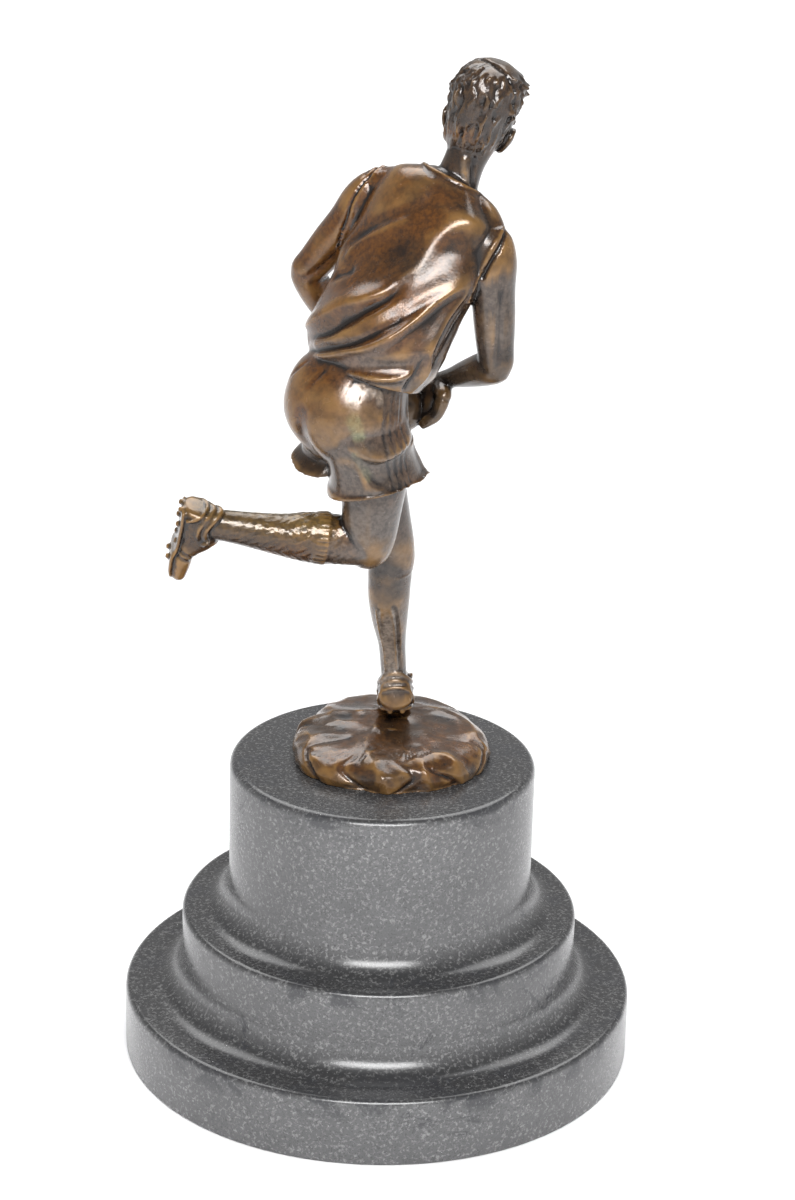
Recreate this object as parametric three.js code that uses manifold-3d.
// Bronze statuette of a rugby runner, seen from behind, on a three-tier turned stone plinth.
// Units are millimetres and +Z is up. The origin is the centre of the plinth's underside.
// X points to the runner's right-hand side of the picture, Y away from the viewer.
// Two pieces: the turned stone, and one bronze casting of runner, ball and rocky ground.
import * as THREE from "three";
import { mergeVertices } from "three/addons/utils/BufferGeometryUtils.js";
import Module from "manifold-3d";

// Plinth, turned from one block of dark stone.
const BASE_R = 75;
const BASE_TOP = 20.4;
const MIDDLE_R = 58.2;
const MIDDLE_TOP = 45;
const DRUM_R = 44.5;
const DRUM_TOP = 92;
const EDGE = 2;
const DRUM_EDGE = 2.5;
const COVE = 9;
const PLINTH_SIDES = 32;

// Skeleton of the runner: the joint centres in the plinth's frame.
const ANKLE_L = [2.9, 5.5, 115.5];
const KNEE_L = [1.1, -3, 156.3];
const HIP_L = [-9.5, -7, 204];
const HIP_R = [-2.5, -24, 206.5];
const KNEE_R = [-5.6, -17, 165];
const ANKLE_R = [-49, -20, 170.5];
const SHOULDER_L = [-6.6, 9, 259];
const SHOULDER_R = [26.2, -13, 250.2];
const ELBOW_L = [-25.2, 14, 234.2];
const ELBOW_R = [28.9, -13, 216.5];
const WRIST_L = [-12, 23, 209];
const WRIST_R = [14.2, 4.5, 206.3];
const NECK_BASE = [15.6, -1.5, 263];
const HEAD = [22.9, 2.5, 285];

// Which way each part faces, in degrees to the right of straight away from the viewer.
const PELVIS_TURN = 52;
const CHEST_TURN = 38;
const HEAD_TURN = 18;
const HEAD_UP = [0.3, 0.06, 0.95];

// The ball is an egg with two ends.
const BALL_AT = [-4.5, 7, 199.7];
const BALL_AXIS = [0.85, -0.5, -0.15];
const BALL_HALF = 15.5;
const BALL_R = 9.2;

// Boots.
const SOLE_THICK = 1.1;
const SOLE_DROP = 9.5;
const SOLE_ARCH = 1.5;
const STUD_R = 1;
const STUD_H = 1;
const TOE_SPRING = 2.6;
const RAISED_TOE = [-0.27, 0.28, -0.92];
const STANDING_TOE = [-0.02, 1, -0.28];

// Rocky ground under the standing foot.
const ROCK_AT = [2.2, 2.5];
const ROCK_R = 28.2;
const ROCK_RIM = 6.9;
const ROCK_TOP = 9.9;
const ROCK_BACK = 0.7;

// Small vector helpers.
const rad = (deg) => deg * Math.PI / 180;
const add = (a, b, k = 1) => a.map((v, i) => v + k * b[i]);
const sub = (a, b) => a.map((v, i) => v - b[i]);
const dot = (a, b) => a[0] * b[0] + a[1] * b[1] + a[2] * b[2];
const unit = (a) => a.map((v) => v / Math.hypot(...a));
const cross = (a, b) => [
  a[1] * b[2] - a[2] * b[1],
  a[2] * b[0] - a[0] * b[2],
  a[0] * b[1] - a[1] * b[0],
];
const facing = (deg) => [Math.sin(rad(deg)), Math.cos(rad(deg)), 0];
const mix = (a, b, t) => a.map((v, i) => v + t * (b[i] - v));
const bell = (x, width) => Math.exp(-x * x / (width * width));

// Reads a table of rows as a smooth curve; u runs from 0 at the first row to 1 at the last.
function along(rows, u) {
  const last = rows.length - 1;
  const s = Math.min(u * last, last - 1e-9);
  const i = Math.floor(s);
  const t = s - i;
  const row = (k) => rows[Math.max(0, Math.min(last, k))];
  return rows[0].map((_, c) => {
    const [p0, p1, p2, p3] = [row(i - 1)[c], row(i)[c], row(i + 1)[c], row(i + 2)[c]];
    const slope = p2 - p0;
    const bend = 2 * p0 - 5 * p1 + 4 * p2 - p3;
    const turn = 3 * p1 - p0 - 3 * p2 + p3;
    return p1 + 0.5 * t * (slope + t * (bend + t * turn));
  });
}

// Lofted body part, bent out of a plain cylinder. A row is [x, y, z, right, left, front, back]: the centre
// of a section and how far it reaches each way. The section stands square to the line of centres and
// looks along "front". swell(u, deg) pushes the skin out, lift(u, deg) slides it along the line of centres.
function loft(rows, opts) {
  const { sides = 14, steps = 10, front = [0, 1, 0], swell = null, lift = null, square = 2 } = opts;
  const geometry = new THREE.CylinderGeometry(1, 1, 1, sides, steps);
  const place = geometry.attributes.position;
  for (let i = 0; i < place.count; i += 1) {
    const u = place.getY(i) + 0.5;
    const rim = Math.hypot(place.getX(i), place.getZ(i)) > 0.5;
    const row = along(rows, u);
    let point = row.slice(0, 3);
    if (rim) {
      const a = Math.atan2(place.getX(i), place.getZ(i));
      const deg = (Math.round(a * 180e6 / Math.PI) / 1e6 + 360) % 360;
      point = onLoft(rows, u, deg, { front, swell, lift, square });
    }
    place.setXYZ(i, ...point);
  }
  return geometry;
}

// One point on the skin of a loft.
function onLoft(rows, u, deg, { front = [0, 1, 0], swell = null, lift = null, square = 2 }) {
  const row = along(rows, u);
  const axis = unit(sub(along(rows, Math.min(1, u + 0.01)), along(rows, Math.max(0, u - 0.01))).slice(0, 3));
  const look = typeof front === "function" ? front(u) : front;
  const ahead = unit(sub(look, axis.map((c) => c * dot(look, axis))));
  const right = cross(ahead, axis);
  const [c, s] = [Math.cos(rad(deg)), Math.sin(rad(deg))];
  const bulge = swell ? swell(u, (deg + 360) % 360) : 0;
  const across = Math.sign(c) * Math.abs(c) ** (2 / square) * (c > 0 ? row[3] : row[4]) + bulge * c;
  const forth = Math.sign(s) * Math.abs(s) ** (2 / square) * (s > 0 ? row[5] : row[6]) + bulge * s;
  const slide = lift ? lift(u, deg) : 0;
  return add(add(add(row.slice(0, 3), right, across), ahead, forth), axis, slide);
}

// Limb between two joints: rows of [share of the bone, right, left, front, back, shift ahead].
function limb(from, to, rows, opts) {
  const axis = unit(sub(to, from));
  const look = opts.front;
  const v = unit(sub(look, axis.map((c) => c * dot(look, axis))));
  const row = ([s, r, l, f, b, shift = 0]) => [...add(mix(from, to, s), v, shift), r, l, f, b];
  return loft(rows.map(row), opts);
}

// Round cord along a smooth curve of points, used for hems, bands, fingers and collars.
function cord(points, radii, { sides = 8, steps = 10, front = [0.1, 0.2, 1] } = {}) {
  const row = (p, i) => {
    const r = Array.isArray(radii) ? radii[i] : radii;
    return [...p, r, r, r, r];
  };
  return loft(points.map(row), { sides, steps, front });
}

// Closed ring of cord through a loop of points, bent out of a plain torus.
function hoop(points, r, sides = 4) {
  const n = points.length;
  const middle = points.reduce((sum, p) => add(sum, p, 1 / n), [0, 0, 0]);
  const geometry = new THREE.TorusGeometry(1, 0.2, sides, n);
  const place = geometry.attributes.position;
  for (let k = 0; k < place.count; k += 1) {
    const i = k % (n + 1) % n;
    const a = 2 * Math.PI * (Math.floor(k / (n + 1)) % sides) / sides;
    const axis = unit(sub(points[(i + 1) % n], points[(i + n - 1) % n]));
    const out = sub(points[i], middle);
    const v = unit(sub(out, axis.map((q) => q * dot(out, axis))));
    place.setXYZ(k, ...add(add(points[i], v, r * Math.cos(a)), cross(v, axis), r * Math.sin(a)));
  }
  return geometry;
}

// Jersey: a sleeveless shirt pulled into folds that run from the right shoulder down to the left hip.
const JERSEY = [
  [-7.5, -15.5, 213.5, 18, 18, 14, 13],
  [-6, -14.5, 219.5, 21, 21.2, 16.5, 15.6],
  [-3.6, -13, 227, 21.8, 20.6, 17, 15],
  [0.6, -10.5, 235, 21.2, 18.6, 15.6, 13.4],
  [5, -7.5, 243.5, 21.6, 21.6, 13.6, 12],
  [8.6, -5, 251.5, 19.6, 22, 12, 11.5],
  [12, -3, 258.8, 17.4, 20, 10, 10],
  [14.6, -1.8, 263.6, 11.5, 14, 7.5, 8],
  [16, -1.2, 266.4, 6, 6.5, 5.5, 5.5],
];
// The rims of the armholes, as they lie on the shoulders, from the top round the back.
const ARMHOLE_L = [
  [-3, 8, 266], [-8, 9.5, 264.2], [-12, 7.2, 261], [-13.5, 6, 257.5], [-14, 5.5, 252.5], [-14.2, 6.4, 247],
  [-14.8, 7.8, 242.5], [-15, 9.5, 239.5], [-9, 9.5, 241.5], [-4, 10.7, 246], [-1, 11.5, 252], [1, 11.3, 258],
];
const ARMHOLE_R = [
  [29, -13, 255.5], [27.6, -16.8, 253.5], [25.2, -18.8, 249.5], [23.2, -19, 244.5], [21.3, -21.2, 240.5],
  [20.2, -21.5, 237.3], [19.4, -19.5, 234.5], [19.5, -13.5, 233], [20.5, -10.3, 236.5], [22, -7.2, 242],
  [24.5, -7, 248], [27.5, -7.3, 253.5],
];
const jerseyFront = (u) => facing(PELVIS_TURN + (CHEST_TURN - PELVIS_TURN) * Math.min(1, u * 1.3));

// One fold: [height at the left edge, height at the right edge, curve, width, relief].
const FOLDS = [
  [0.04, -0.04, 1, 0.055, 1.3],
  [0.15, 0.34, 2.2, 0.045, 1.5],
  [0.27, 0.58, 1.8, 0.05, 1.4],
  [0.38, 0.82, 1.5, 0.06, 0.8],
  [0.21, 0.46, 2, 0.035, -1.2],
  [0.09, 0.16, 2.5, 0.035, -1],
];
function jerseyFolds(u, deg) {
  const turned = rad(deg - CHEST_TURN - 8);
  const side = (Math.cos(turned) + 1) / 2;
  const behind = 0.72 - 0.28 * Math.tanh(3 * Math.sin(turned) - 0.6);
  let sum = 0;
  for (const [left, right, curve, width, relief] of FOLDS) {
    const line = left + (right - left) * side ** curve;
    sum += relief * bell(u - line, width) * (1 - 0.55 * side);
  }
  const blade = 1.1 * bell(u - 0.7, 0.12) * bell(deg - 318, 34);
  const spine = -0.9 * bell(u - 0.62, 0.2) * bell(deg - 275, 14);
  const flank = 2.2 * bell(u - 0.41, 0.09) * bell(deg - 214, 17);
  return sum * behind + blade + spine + flank;
}

const YOKE = { sides: 8, steps: 3 };
function jersey() {
  const cloth = { front: jerseyFront, swell: jerseyFolds };
  const neckband = Array.from({ length: 12 }, (_, i) => (
    onLoft(JERSEY, 0.935 - 0.03 * Math.max(0, Math.sin(rad(30 * i))), 30 * i, cloth)
  ));
  return [
    loft(JERSEY, { ...cloth, sides: 20, steps: 14 }),
    cord([[13, -2, 261.5], [4, 2.5, 262.3], add(SHOULDER_L, [0.5, 0, 1])], [5.4, 5.6, 5.2], YOKE),
    cord([[17, -3, 260], [23, -8, 256.5], add(SHOULDER_R, [-0.5, 0.5, 1])], [5, 5, 5], YOKE),
    hoop(neckband, 0.9, 3),
    hoop(ARMHOLE_L, 0.8, 3),
    hoop(ARMHOLE_R, 0.8, 3),
  ];
}

// Shorts: seat and two flared legs, each turned out along its hem.
const SEAT = [
  [-7, -15, 221, 14, 14, 10, 11],
  [-9, -16, 214, 17, 16, 12, 14.2],
  [-11, -16.5, 207.5, 18.5, 18.5, 13.5, 17],
  [-12, -16.5, 200.5, 18, 18.5, 13.5, 16.5],
  [-12, -15.5, 194.5, 14, 15, 11, 11],
  [-11, -14, 191, 7, 7, 5, 5],
];
const LEG_R = [
  [-7, -23, 204, 10, 10.5, 12, 13],
  [-6, -22.5, 197, 11, 11.5, 12, 13],
  [-5, -22, 191.5, 11.4, 11.2, 12, 12.2],
  [-4.1, -21.3, 187, 12.8, 11.2, 13, 12.8],
  [-3.8, -21, 184.7, 13.8, 11.8, 14.2, 13.4],
  [-3.7, -21, 183.4, 13.8, 12.4, 15.4, 13.4],
];
const LEG_L = [
  [-14, -8.5, 203, 9, 10, 11.5, 12.5],
  [-13, -7, 199, 9.6, 10.6, 13.5, 13.6],
  [-11.5, -5.5, 194.8, 10.4, 11, 14.8, 14.6],
  [-11.5, -4.8, 191.6, 10.3, 11.4, 15.5, 14.2],
  [-11.5, -4.5, 190.2, 12.2, 11.8, 16.5, 17.6],
];
const seatFront = facing(PELVIS_TURN);
const seatFold = (u, deg) => (
  -2 * bell(deg - 268, 9) * bell(u - 0.5, 0.3) + 0.4 * Math.sin(rad(deg * 5)) * bell(u - 0.2, 0.2)
);
const legFold = (u, deg) => (0.4 + 0.5 * u) * Math.sin(rad(deg * 4 + 60 * u)) * u;
// Each leg's hem swings up on one side: the right leg's towards its front, the left leg's to the inside.
const hemRise = (height, side) => (u, deg) => -height * u ** 4 * Math.cos(rad(deg - side));

function shorts() {
  const cloth = { front: seatFront, swell: legFold, sides: 16, steps: 5 };
  return [
    loft(SEAT, { sides: 18, steps: 6, front: seatFront, swell: seatFold }),
    loft(LEG_R, { ...cloth, lift: hemRise(2, 140) }),
    loft(LEG_L, { ...cloth, lift: hemRise(3.8, 90) }),
  ];
}

// Bare thighs, knees, and long socks with a turned cuff.
const THIGH = [
  [0.2, 9.2, 9.2, 9.8, 9.6],
  [0.45, 8.9, 8.9, 9.6, 9.4],
  [0.75, 7.6, 8, 8.6, 8.6],
  [0.95, 6.5, 7.4, 7.8, 7.4],
  [1.08, 5.1, 6, 6.6, 5.8],
  [1.16, 2.6, 3.2, 3.6, 3.2],
];
const CALF_L = [
  [-0.1, 2.8, 2.8, 3.2, 2.8],
  [0, 6.2, 5.8, 6.2, 6],
  [0.12, 6.4, 5.8, 5.8, 6.8, -0.4],
  [0.3, 6.4, 5.4, 5.6, 7.2, -0.8],
  [0.5, 5.8, 4.4, 4.9, 6.1, -0.6],
  [0.72, 4.6, 3.2, 4, 4.4],
  [0.92, 4.1, 3.3, 3.7, 4],
  [1.05, 3.9, 3.6, 3.7, 3.9],
];
const CALF_R = [
  [-0.12, 3, 3, 3.4, 3],
  [-0.02, 6.4, 6.4, 6.1, 6.6],
  [0.08, 6.8, 6.8, 6.6, 7],
  [0.21, 6.8, 6.8, 7, 7.1],
  [0.38, 6.6, 6.6, 7.6, 6.8],
  [0.55, 5.6, 5.6, 6.9, 5.1],
  [0.72, 4.7, 4.7, 5.8, 4.6],
  [0.91, 4.2, 4.2, 4.6, 4.4],
  [1.06, 4, 4, 4.4, 4.3],
];
// The turned cuff: rows of [share of its width, share of its thickness], from its upper edge down.
const CUFF = [[0, 0], [0.15, 1], [0.85, 1], [1, 0]];
const CUFF_WIDTH = 0.095;
function leg(hip, knee, ankle, thighFront, shinFront, calf, [cuffAt, cuffThick], slim) {
  const thigh = THIGH.map(([share, ...r]) => [share, ...r.map((v) => v * slim)]);
  const cuff = CUFF.map(([share, thick]) => {
    const at = cuffAt + CUFF_WIDTH * share;
    const i = calf.findIndex(([c]) => c > at);
    const near = mix(calf[i - 1], calf[i], (at - calf[i - 1][0]) / (calf[i][0] - calf[i - 1][0]));
    return [at, ...near.slice(1, 5).map((v) => v + thick * cuffThick), near[5] || 0];
  });
  return [
    limb(hip, knee, thigh, { front: thighFront, sides: 10, steps: 5 }),
    limb(knee, ankle, calf, { front: shinFront, sides: 10, steps: 7 }),
    limb(knee, ankle, cuff, { front: shinFront, sides: 12, steps: 3 }),
  ];
}

// A studded boot: upper, welted sole, padded collar and studs, drawn from the ankle along the toe line.
// Rows of the outline: [distance ahead of the ankle, half width, height above the middle, depth below it].
const BOOT = [
  [-5.3, 2.8, 4.2, 2.2],
  [-4.5, 4.6, 6.8, 2.8],
  [-1.9, 5, 8.4, 3],
  [1.5, 4.9, 8.4, 3],
  [5, 4.8, 7.7, 2.9],
  [8, 5, 4.8, 2.8],
  [11, 5.4, 3.7, 2.7],
  [15.5, 5.1, 3, 2.6],
  [18.2, 4.3, 2, 2.3],
  [19.9, 2.2, 0.9, 1.4],
];
// Outline of the welted sole: [distance ahead of the ankle, half width].
const WELT = [
  [-4.6, 2.4],
  [-3.6, 4.6],
  [1.5, 5.1],
  [8, 5.2],
  [11, 5.6],
  [15.5, 5.2],
  [18.2, 4.1],
  [19.8, 1.6],
];
// How far the sole lies below the ankle: it is arched under the instep and turns up towards the toe.
const sole = (ahead) => (
  SOLE_DROP - SOLE_ARCH * bell(ahead - 5.5, 4.5) - TOE_SPRING * Math.max(0, (ahead - 7) / 13) ** 2
);
// Studs under the sole: [distance ahead of the ankle, distance to the side].
const STUDS = [[-3.8, 1.8], [0.8, 2.3], [6.6, 2.3], [12.6, 2.2]].flatMap(([s, w]) => [[s, w], [s, -w]]);
function boot(ankle, toe, shin, studs) {
  const ahead = unit(toe);
  const down = unit(sub(shin, ahead.map((c) => c * dot(shin, ahead))));
  const side = cross(ahead, down);
  const at = (s, w, h) => add(add(add(ankle, ahead, s), side, w), down, h);
  const upper = BOOT.map(([s, w, up, low]) => [...at(s, 0, sole(s) - 3.2), w, w, low, up]);
  const welt = WELT.map(([s, w]) => [
    ...at(s, 0, sole(s) - SOLE_THICK / 2), w, w, SOLE_THICK / 2, SOLE_THICK / 2,
  ]);
  // The collar's rim dips at both sides of the ankle.
  const collar = Array.from({ length: 10 }, (_, i) => {
    const a = 2 * Math.PI * i / 10;
    return at(0.1 + 5 * Math.cos(a), 4.6 * Math.sin(a), 3 * Math.sin(a) ** 2 - 0.4);
  });
  const cone = ([s, w]) => {
    const ends = [at(s, w, sole(s) - 0.4), at(s, w, sole(s) + STUD_H)];
    return cord(ends, [STUD_R, STUD_R * 0.7], { sides: 5, steps: 1, front: ahead });
  };
  return [
    loft(upper, { sides: 10, steps: 9, front: down, square: 2.3 }),
    loft(welt, { sides: 8, steps: 9, front: down, square: 4 }),
    hoop(collar, 1.1, 3),
    ...studs.map(cone),
  ];
}

// Arms: bare, with the swell of shoulder, upper arm, elbow and forearm.
// Upper arm rows: [share of the bone, towards the body, away from it, front, back].
const UPPER_ARM = [
  [-0.16, 2.8, 2.8, 2.8, 2.8],
  [-0.05, 5.6, 5.4, 5.8, 5.8],
  [0.14, 6.8, 6.3, 7, 7],
  [0.38, 6.4, 5.4, 6.4, 6.2],
  [0.62, 6.3, 5.1, 5.9, 5.9],
  [0.86, 5.8, 4.5, 5.1, 5.3],
  [1.0, 5, 4.3, 4.4, 4.8],
  [1.12, 2.4, 2.4, 2.2, 2.4],
];
const FOREARM = [
  [-0.12, 2.6, 2.6, 2.6, 2.6],
  [0.02, 4.6, 4.6, 4.6, 4.8],
  [0.24, 5, 5, 4.8, 4.8],
  [0.52, 4.3, 4.3, 4, 4],
  [0.82, 3.2, 3.2, 2.9, 2.9],
  [1.05, 2.8, 2.8, 2.5, 2.5],
];
function arm(shoulder, elbow, wrist, palm, isRight) {
  const sides = (inner, outer) => (isRight ? [inner, outer] : [outer, inner]);
  const upper = UPPER_ARM.map(([share, inner, outer, ...r]) => [share, ...sides(inner, outer), ...r]);
  return [
    limb(shoulder, elbow, upper, { front: facing(CHEST_TURN), sides: 10, steps: 6 }),
    limb(elbow, wrist, FOREARM, { front: palm, sides: 10, steps: 5 }),
  ];
}

// A point on the skin of the ball: s from -1 to 1 along it, deg round it, lift above the skin.
function onBall([s, deg], lift) {
  const axis = unit(BALL_AXIS);
  const high = unit(sub([0, 0, 1], axis.map((c) => c * axis[2])));
  const r = BALL_R * Math.sqrt(Math.max(0, 1 - Math.abs(s) ** 2.2)) + lift;
  const mid = add(BALL_AT, axis, s * (BALL_HALF + lift));
  return add(add(mid, high, r * Math.sin(rad(deg))), cross(high, axis), r * Math.cos(rad(deg)));
}

function ball() {
  const rows = Array.from({ length: 9 }, (_, i) => {
    const s = Math.sin(rad(-88 + 22 * i));
    const r = Math.max(0.4, BALL_R * Math.sqrt(1 - Math.abs(s) ** 2.2));
    return [...add(BALL_AT, unit(BALL_AXIS), s * BALL_HALF), r, r, r, r];
  });
  return loft(rows, { sides: 12, steps: 8, front: [0, 0, 1] });
}

// A hand laid on the ball. Each finger is [knuckle, bend, tip].
// The thumb is [root, tip] as places on the ball.
function hand(wrist, fingers, thumb) {
  const parts = [];
  for (const [knuckle, bend, tip] of fingers) {
    parts.push(cord([mix(wrist, knuckle, 0.1), mix(wrist, knuckle, 0.6), knuckle, bend, tip],
      [2.4, 2.6, 2.3, 1.9, 1.2], { sides: 4, steps: 4 }));
  }
  const [root, tip] = thumb;
  parts.push(cord([mix(wrist, onBall(root, 1.8), 0.2), onBall(root, 1.8), onBall(tip, 1.2)], [2.2, 1.9, 1.2],
    { sides: 4, steps: 3 }));
  return parts;
}
// The right hand's fingers curl down round the end of the ball, each a step further back than the last.
const FINGER_R = [[14.3, -3.5, 203.6], [12.6, -3.5, 198.8], [8.2, -3.5, 195.2]];
const FINGER_STEP = [0, 3.3, -1.08];
const FINGERS_R = [0, 1, 2, 3].map((k) => FINGER_R.map((p) => add(p, FINGER_STEP, k)));
const THUMB_R = [[0.8, 60], [0.45, 70]];
const PALM_R = [[12, 2.5, 202], [10.5, 1.5, 198.5], [8.5, 1, 196]];
// The left hand's fingers lie along the ball, from the knuckle to the tip.
const FINGERS_L = [
  [[-0.5, 62], [0.02, 46]],
  [[-0.62, 42], [-0.06, 22]],
  [[-0.7, 20], [-0.12, -2]],
  [[-0.7, -4], [-0.2, -26]],
]
  .map(([from, to]) => [onBall(from, 2.2), onBall(mix(from, to, 0.5), 2.2), onBall(to, 1)]);
const THUMB_L = [[-0.75, 100], [-0.4, 112]];

// Head in its own frame: rows of [height, set ahead, side, front, back].
const SKULL = [
  [-15.8, 5.6, 1.2, 1.6, 1.4],
  [-14.9, 5.2, 4, 4.4, 4],
  [-12.4, 3.8, 5.8, 6.4, 6.8],
  [-8.8, 2, 7, 7.9, 8.6],
  [-4.2, 0.8, 7.8, 9.1, 9.8],
  [0.6, 0, 8.3, 9.6, 10.9],
  [5, -0.2, 8.4, 9.5, 11.1],
  [8.6, -0.4, 7.5, 8.3, 9.8],
  [11.2, -0.5, 5.4, 5.8, 7],
  [12.9, -0.6, 2, 2.2, 2.6],
];
const headUp = unit(HEAD_UP);
const headAhead = unit(sub(facing(HEAD_TURN), headUp.map((c) => c * dot(facing(HEAD_TURN), headUp))));
const headRight = cross(headAhead, headUp);
const inHead = (r, f, h) => add(add(add(HEAD, headRight, r), headAhead, f), headUp, h);

// Face and hair as relief on the skull: brow, eye hollows, nose, lips and chin in front, short locks above.
function headRelief(u, deg) {
  const h = along(SKULL, u)[0];
  const off = deg > 270 ? deg - 450 : deg - 90;
  const nose = 2.4 * bell(off, 11) * bell(h + 5.4, 2) + 1.1 * bell(off, 9) * bell(h + 2.4, 2.8);
  const brow = 0.6 * bell(Math.abs(off) - 20, 16) * bell(h - 0.2, 1.3);
  const eyes = -1 * bell(Math.abs(off) - 22, 11) * bell(h + 2, 1.6);
  const lips = 0.7 * bell(off, 17) * bell(h + 9.2, 1.2);
  const chin = 0.7 * bell(off, 20) * bell(h + 13.2, 2) - 0.5 * bell(off, 22) * bell(h + 11.2, 0.9);
  const line = 5 - 17 * (1 - bell(off, 75));
  const hair = 1 / (1 + Math.exp(-(h - line) * 2.2));
  const quiff = 0.9 * bell(off + 35, 40) * bell(h - 9, 3.5);
  const locks = 0.9 + quiff + 0.35 * Math.sin(rad(deg * 8 + h * 30)) * Math.cos(h * 1.3);
  return nose + brow + eyes + lips + chin + hair * locks;
}

function head() {
  const rows = SKULL.map(([h, f, side, front, back]) => [...inHead(0, f, h), side, side, front, back]);
  const neck = [
    [...add(NECK_BASE, [-1.5, -1.5, -5]), 7.5, 7.5, 6.5, 6.5],
    [...NECK_BASE, 6.4, 6.6, 6, 6],
    [...mix(NECK_BASE, HEAD, 0.3), 5.8, 5.6, 5.6, 5.6],
    [...mix(NECK_BASE, HEAD, 0.62), 7.2, 5.6, 5.6, 5.8],
  ];
  const ear = (side) => loft([
    [...inHead(side * 7, 3.1, -10.6), 0.8, 0.8, 0.8, 0.8],
    [...inHead(side * 8, 2.9, -9.2), 1.2, 1.2, 1.4, 1.4],
    [...inHead(side * 8.9, 2.7, -6.4), 1.5, 1.5, 2, 2],
    [...inHead(side * 9, 2.5, -4.6), 1.4, 1.4, 1.5, 1.5],
    [...inHead(side * 8.3, 2.6, -3.6), 0.8, 0.8, 0.7, 0.7],
  ], { sides: 6, steps: 5, front: headAhead });
  return [
    loft(rows, { sides: 18, steps: 13, front: headAhead, swell: headRelief }),
    loft(neck, { sides: 10, steps: 4, front: headAhead }),
    ear(-1),
    ear(1),
  ];
}

// Rocky ground: a low lumpy disc with a steep broken rim, flat underneath.
// Rows: [share of the radius, height].
const ROCK = [
  [1, 0],
  [1.02, 2.6],
  [0.99, 5.2],
  [0.92, ROCK_RIM],
  [0.78, 8.4],
  [0.52, 9.4],
  [0.26, ROCK_TOP],
  [0.05, ROCK_TOP],
];
function rock() {
  const rows = ROCK.map(([s, h]) => [...ROCK_AT, DRUM_TOP + h, ...Array(4).fill(ROCK_R * s)]);
  const swell = (u, deg) => {
    const a = rad(deg);
    const edge = 0.8 * Math.sin(3 * a + 2.6) + 0.7 * Math.sin(7 * a) + 0.35 * Math.sin(11 * a);
    return edge * (1 - u) + (u > 0.01 ? 0.5 * Math.sin(9 * a + 9 * u) : 0);
  };
  const lift = (u, deg) => {
    const a = rad(deg);
    const back = ROCK_BACK * Math.max(0, Math.sin(a)) * Math.min(1, 4 * u);
    const broad = 0.9 * Math.sin(5 * a + 4 * u) + 0.7 * Math.sin(8 * a - 5 * u + 1);
    return u > 0.01 ? (broad + 0.4 * Math.sin(11 * a + 2)) * (1 - u) ** 1.5 + back : 0;
  };
  return loft(rows, { sides: 23, steps: 6, swell, lift });
}

// Turned plinth: three tiers with rounded upper edges and a cove at the foot of the two upper tiers.
function plinth() {
  const profile = [[0, 0], [BASE_R - 0.8, 0], [BASE_R, 0.8]];
  const shoulder = (r, top, edge) => {
    for (const a of [0, 45, 90].map(rad)) {
      profile.push([r - edge + edge * Math.cos(a), top - edge + edge * Math.sin(a)]);
    }
  };
  const cove = (r, low) => {
    for (const a of [0, 30, 60, 90].map(rad)) {
      profile.push([r + COVE - COVE * Math.sin(a), low + COVE - COVE * Math.cos(a)]);
    }
  };
  shoulder(BASE_R, BASE_TOP, EDGE);
  cove(MIDDLE_R, BASE_TOP);
  shoulder(MIDDLE_R, MIDDLE_TOP, EDGE);
  cove(DRUM_R, MIDDLE_TOP);
  shoulder(DRUM_R, DRUM_TOP, DRUM_EDGE);
  profile.push([0, DRUM_TOP]);
  const turned = new THREE.LatheGeometry(profile.map(([r, z]) => new THREE.Vector2(r, z)), PLINTH_SIDES);
  return turned.rotateX(Math.PI / 2);
}

const wasm = await Module();
wasm.setup();

// A closed geometry as a solid, with shared corners merged and empty faces dropped.
function toSolid(geometry) {
  geometry.deleteAttribute("normal");
  geometry.deleteAttribute("uv");
  const merged = mergeVertices(geometry, 1e-4);
  const index = merged.index.array;
  const faces = [];
  for (let i = 0; i < index.length; i += 3) {
    const [a, b, c] = index.subarray(i, i + 3);
    if (a !== b && b !== c && c !== a) {
      faces.push(a, b, c);
    }
  }
  return new wasm.Manifold(new wasm.Mesh({
    numProp: 3,
    vertProperties: merged.attributes.position.array,
    triVerts: Uint32Array.from(faces),
  }));
}

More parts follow.
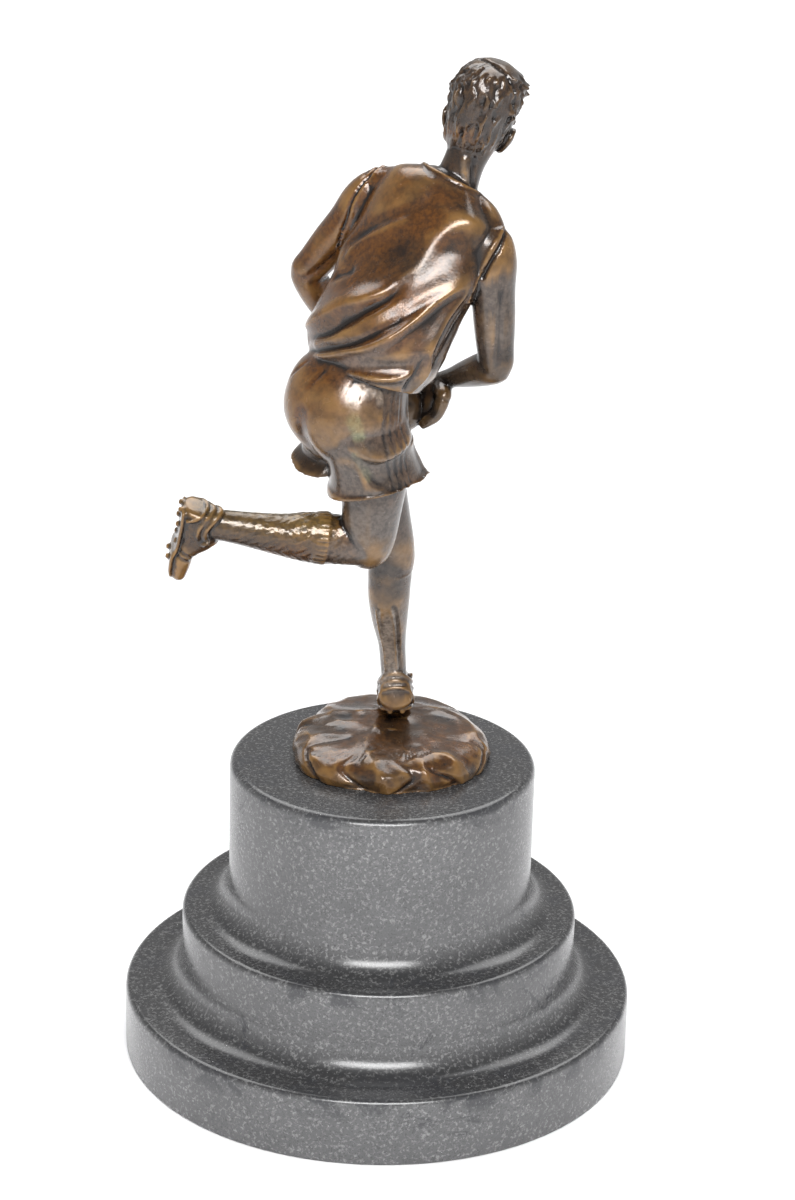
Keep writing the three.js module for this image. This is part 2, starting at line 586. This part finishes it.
// One solid out of many closed geometries; only the outer skin is kept.
function join(geometries) {
  const whole = geometries.map(toSolid).reduce((a, b) => a.add(b));
  return whole.decompose().sort((a, b) => b.volume() - a.volume())[0];
}

function toMesh(solid, name, material) {
  const { vertProperties, triVerts } = solid.getMesh();
  const geometry = new THREE.BufferGeometry();
  geometry.setAttribute("position", new THREE.BufferAttribute(new Float32Array(vertProperties), 3));
  geometry.setIndex(new THREE.BufferAttribute(new Uint32Array(triVerts), 1));
  geometry.computeVertexNormals();
  const mesh = new THREE.Mesh(geometry, material);
  mesh.name = name;
  return mesh;
}

const stone = new THREE.MeshStandardMaterial({ color: 0x2e2e30, roughness: 0.3, metalness: 0 });
const bronze = new THREE.MeshStandardMaterial({ color: 0x6b4423, roughness: 0.4, metalness: 0.85 });

const standingFront = facing(PELVIS_TURN - 22);
const raisedFront = [0.1, 0.25, -1];
const figure = [
  rock(),
  ...jersey(),
  ...shorts(),
  ...leg(HIP_L, KNEE_L, ANKLE_L, standingFront, standingFront, CALF_L, [0.1, 0.5], 0.94),
  ...leg(HIP_R, KNEE_R, ANKLE_R, seatFront, raisedFront, CALF_R, [0.26, 0.6], 1),
  ...boot(ANKLE_L, STANDING_TOE, sub(ANKLE_L, KNEE_L), STUDS),
  ...boot(ANKLE_R, RAISED_TOE, sub(ANKLE_R, KNEE_R), STUDS),
  ...arm(SHOULDER_L, ELBOW_L, WRIST_L, [-0.4, 0.2, 0.9], false),
  ...arm(SHOULDER_R, ELBOW_R, WRIST_R, [0.2, 0, 1], true),
  ball(),
  ...hand(WRIST_R, FINGERS_R, THUMB_R),
  cord([WRIST_R, ...PALM_R], [2.6, 3.4, 3.6, 2.4], { sides: 6, steps: 4 }),
  ...hand(WRIST_L, FINGERS_L, THUMB_L),
  ...head(),
];

const statuette = new THREE.Group();
statuette.name = "rugby_runner_statuette";
statuette.add(toMesh(toSolid(plinth()), "plinth_stone", stone));
statuette.add(toMesh(join(figure), "runner_bronze", bronze));

export default statuette;
